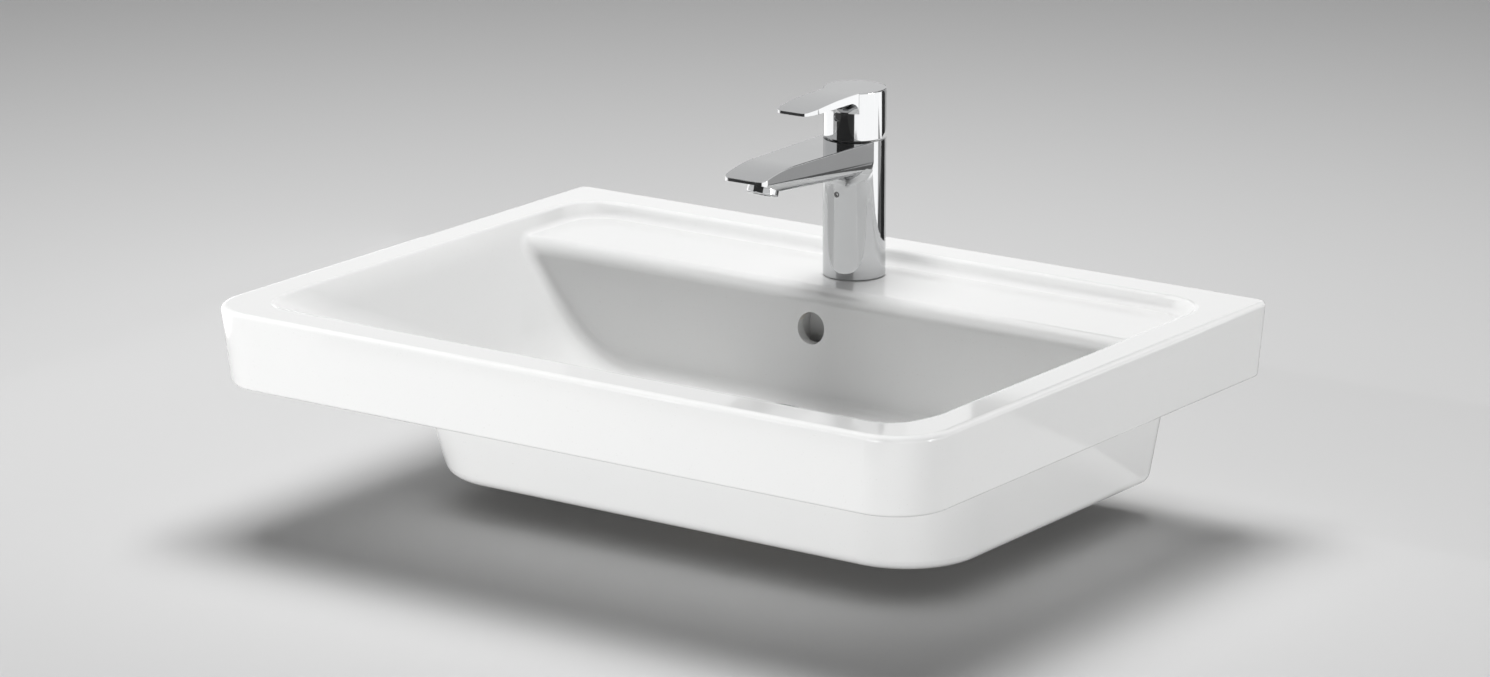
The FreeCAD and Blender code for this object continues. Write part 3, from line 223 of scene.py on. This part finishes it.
def glazed_ceramic():
    """White vitreous china: glossy glaze outside, bare matte body where it was not glazed."""
    cool_glaze, warm_glaze = (0.835, 0.84, 0.838, 1), (0.86, 0.86, 0.853, 1)
    iron_speck, speck_strength = (0.45, 0.42, 0.38, 1), 0.12
    grey_clay, pale_clay = (0.70, 0.68, 0.63, 1), (0.80, 0.78, 0.73, 1)
    glaze_rough, clay_rough = 0.05, 0.6

    finish = new_finish("glazed_ceramic")
    cloud = finish.noise(size=160 * MM)
    speck = finish.noise(size=1.1 * MM, detail=0.0).above(0.80, soft=0.02)
    glaze = finish.mix(cloud, cool_glaze, warm_glaze)
    glaze = finish.mix(speck * speck_strength, glaze, iron_speck)
    clay = finish.mix(finish.noise(size=4 * MM, detail=4.0), grey_clay, pale_clay)
    bare = bare_clay(finish)

    ripple = finish.noise(size=22 * MM, detail=1.0)
    peel = finish.noise(size=2.2 * MM, detail=1.0)
    tooth = finish.noise(size=0.7 * MM, detail=3.0)
    normal = finish.bump(ripple, depth=0.05 * MM)
    normal = finish.bump(peel * (1 - bare), depth=0.0016 * MM, before=normal)
    normal = finish.bump(tooth * bare, depth=0.12 * MM, before=normal)
    gloss = glaze_rough + 0.05 * finish.noise(size=60 * MM, detail=3.0)
    finish.set(Base_Color=finish.mix(bare, glaze, clay), Roughness=gloss + bare * clay_rough,
               Normal=normal, Coat_Weight=(1 - bare) * 0.25, Coat_Roughness=0.03)
    return finish


def polished_chrome():
    dull, bright = (0.50, 0.505, 0.51, 1), (0.54, 0.545, 0.55, 1)
    finish = new_finish("polished_chrome")
    film = finish.noise(size=35 * MM, detail=3.0)
    wave = finish.noise(size=28 * MM, detail=1.0)
    grain = finish.noise(size=0.9 * MM, detail=2.0)
    normal = finish.bump(wave, depth=0.02 * MM)
    normal = finish.bump(grain, depth=0.0004 * MM, before=normal)
    finish.set(Base_Color=finish.mix(film, dull, bright), Metallic=1.0,
               Roughness=0.035 + 0.03 * film, Normal=normal)
    return finish


def machined_metal(name, dark, light, rough):
    """Turned metal with fine rings of tool marks."""
    squeezed_upright = (0.6, 0.6, 4.0)
    finish = new_finish(name)
    lines = finish.noise(size=1.0 * MM, detail=2.0, vector=finish.stretched(squeezed_upright))
    stain = finish.noise(size=12 * MM, detail=4.0)
    finish.set(Base_Color=finish.mix(stain, dark, light), Metallic=1.0,
               Roughness=rough + 0.12 * lines, Normal=finish.bump(lines, depth=0.02 * MM))
    return finish


def moulded_rubber():
    finish = new_finish("moulded_rubber")
    bloom = finish.noise(size=6 * MM, detail=4.0)
    skin = finish.noise(size=0.5 * MM, detail=2.0)
    finish.set(Base_Color=finish.mix(bloom, grey(0.018), grey(0.04)),
               Roughness=0.62 + 0.15 * bloom, Normal=finish.bump(skin, depth=0.02 * MM))
    return finish


def moulded_plastic(name, dark, light, rough):
    finish = new_finish(name)
    tone = finish.noise(size=15 * MM, detail=2.0)
    skin = finish.noise(size=0.4 * MM, detail=2.0)
    finish.set(Base_Color=finish.mix(tone, dark, light), Roughness=rough + 0.08 * tone,
               Normal=finish.bump(skin, depth=0.008 * MM))
    return finish


def finishes():
    """The finish of each material slot of the record."""
    dark_brass, light_brass = (0.56, 0.38, 0.15, 1), (0.72, 0.52, 0.24, 1)
    return {
        "glaze": glazed_ceramic(),
        "chrome": polished_chrome(),
        "brass": machined_metal("machined_brass", dark_brass, light_brass, rough=0.22),
        "steel": machined_metal("machined_steel", grey(0.42), grey(0.58), rough=0.28),
        "rubber": moulded_rubber(),
        "white_plastic": moulded_plastic("white_plastic", grey(0.66, warm=0.01),
                                         grey(0.74, warm=0.01), rough=0.38),
        "grey_plastic": moulded_plastic("grey_plastic", grey(0.07), grey(0.11), rough=0.4),
        "index": moulded_plastic("index_plastic", grey(0.05), grey(0.07), rough=0.2),
    }


# The ring in the gap under the lever's hub is given dark plastic as painted shade, so that the
# gap shows as a dark line.
GAP_SHADE_SLOT = {"nut_cover": "grey_plastic"}


def dress_nodes():
    slots = finishes()
    for entry in frame["record"]["subparts"]:
        mesh = nodes[entry["node"]].data
        # The nut cover takes dark plastic instead of its own slot: painted shade in the hub's
        # gap.
        slot = GAP_SHADE_SLOT.get(entry["node"], entry["material_slot"])
        mesh.materials.clear()
        mesh.materials.append(slots[slot].owner)
        for face in mesh.polygons:
            face.material_index = 0


# ---------------------------------------------------------------- floor, cards, world and lamps

FLOOR_HEIGHT = cad_low.z - 1 * MM
FLOOR_REACH = 12.0
FLOOR_SHOWN = 0.72
FLOOR_THROWN = 0.28
WORLD_LIGHT = 0.06
WORLD_MIRRORED = 0.95
WORLD_SHOWN = 0.86


def stage_sheet(name, corners, paint):
    mesh = bpy.data.meshes.new(name)
    mesh.from_pydata(corners, [], [tuple(range(len(corners)))])
    mesh.materials.append(paint.owner)
    sheet = bpy.data.objects.new(name, mesh)
    scene.collection.objects.link(sheet)
    return sheet


def make_floor():
    """A pale floor. It throws less light than it shows, and can be seen through from below."""
    corners = [(x * FLOOR_REACH, y * FLOOR_REACH, FLOOR_HEIGHT)
               for x, y in ((-1, -1), (1, -1), (1, 1), (-1, 1))]
    paint = new_finish("floor_paint")
    colour = paint.mix(paint.ray("Diffuse"), grey(FLOOR_SHOWN), grey(FLOOR_THROWN))
    from_below = paint.node("ShaderNodeNewGeometry", output="Backfacing")
    paint.set(Base_Color=colour, Roughness=0.9, Alpha=1 - from_below)
    stage_sheet("floor", corners, paint)


# How strongly the cards glow.
BLACK, DARK, MIDDLE, PALE, BRIGHT = 0.015, 0.11, 0.46, 0.72, 1.75

# Where the cards stand, in plan: lines, then corners that cards share.
FRONT_Y, SIDE_X, BACK_Y, DARK_Y, TAP_Y = -0.80, 0.80, 0.42, 0.40, 0.10
RIGHT_FRONT, RIGHT_BACK = (SIDE_X, -0.40), (SIDE_X, 0.15)
BACK_RIGHT = (0.62, BACK_Y)
EDGE_RIGHT_X, EDGE_LEFT_X, GROUND_RIGHT_X = 0.286, 0.05, 0.60

# Heights of the cards.
FOOT = FLOOR_HEIGHT + 0.5 * MM
RING_TOP = 0.12
BAND_JOIN = 0.012
OVERHEAD = 0.8


def upright(start, end, low, top, end_top=None):
    """Corners of a card that stands over a line in plan."""
    if end_top is None:
        end_top = top
    return [(*start, low), (*end, low), (*end, end_top), (*start, top)]


def flat(left, right, front, back, height):
    """Corners of a card that lies flat."""
    return [(left, front, height), (right, front, height),
            (right, back, height), (left, back, height)]


def cards():
    """Each card's glow and corners."""
    return {
        "front_card": (BLACK, upright((-0.486, FRONT_Y), (0.45, FRONT_Y), FOOT, 0.45)),
        "left_card": (BRIGHT, upright((-0.80, 0.345), (-0.72, -0.684), FOOT, 0.14)),
        "right_front_card": (BRIGHT, upright((0.47, FRONT_Y), RIGHT_FRONT, FOOT, RING_TOP)),
        "right_card": (BRIGHT, upright(RIGHT_FRONT, RIGHT_BACK, FOOT, RING_TOP)),
        "right_back_card": (BRIGHT, upright(RIGHT_BACK, BACK_RIGHT, FOOT, RING_TOP)),
        "back_card": (BRIGHT, upright(BACK_RIGHT, (0.30, BACK_Y), BAND_JOIN, 0.10)),
        "grey_card": (MIDDLE, upright((0.62, 0.41), (EDGE_RIGHT_X, 0.41), FOOT, BAND_JOIN)),
        "dark_card": (DARK, upright((GROUND_RIGHT_X, DARK_Y), (0.39, DARK_Y),
                                    FOOT, -0.088, end_top=-0.004)),
        "edge_card": (BLACK, upright((EDGE_RIGHT_X, DARK_Y), (EDGE_LEFT_X, DARK_Y), FOOT, 0.09)),
        "ground_card": (DARK, [(0.0, 0.02, FOOT), (0.55, 0.02, FOOT),
                               (GROUND_RIGHT_X, DARK_Y, FOOT), (EDGE_LEFT_X, DARK_Y, FOOT)]),
        "high_card": (BLACK, upright((0.42, DARK_Y), (-0.20, DARK_Y), 0.31, 0.66)),
        "tap_card": (PALE, upright((-0.07, TAP_Y), (-0.42, TAP_Y), 0.205, 0.62)),
        "over_card": (BLACK, flat(-0.65, -0.20, -0.60, -0.15, OVERHEAD)),
    }


def make_cards():
    """Cards that only mirrors see. They give chrome its dark and bright bands."""
    for name, (glow, corners) in cards().items():
        paint = new_finish(name + "_paint")
        paint.set(Base_Color=(0, 0, 0, 1), Emission_Color=WHITE, Emission_Strength=glow)
        card = stage_sheet(name, corners, paint)
        card.visible_camera = False
        card.visible_diffuse = False
        card.visible_shadow = False
        card.visible_transmission = False


def make_world():
    """An even white world, with one strength as light, one in mirrors and one behind the part."""
    sky = Finish(bpy.data.worlds.new("studio"), "Background")
    scene.world = sky.owner
    unseen = sky.between(sky.ray("Glossy"), WORLD_LIGHT, WORLD_MIRRORED)
    sky.set(Color=WHITE, Strength=sky.between(sky.ray("Camera"), unseen, WORLD_SHOWN))


LIT_POINT = Vector((0, -0.24, 0))


def lamp(name, place, size, watts):
    """A rectangular lamp that shines on the middle of the part."""
    light = bpy.data.lights.new(name, "AREA")
    light.shape = "RECTANGLE"
    light.size, light.size_y = size
    light.energy = watts
    return set_up(name, light, Vector(place), LIT_POINT)


def make_lamps():
    """Low lamps for the upright faces, and one above that mirrors don't show."""
    lamp("front_light", place=(-0.8, -3.4, 0.07), size=(2.6, 0.25), watts=94)
    top_light = lamp("top_light", place=(-0.3, 0.1, 2.3), size=(1.5, 1.2), watts=56)
    top_light.visible_glossy = False
    lamp("right_light", place=(3.3, 0.2, 0.03), size=(1.4, 0.24), watts=60)


make_camera()
dress_nodes()
make_floor()
make_cards()
make_world()
make_lamps()
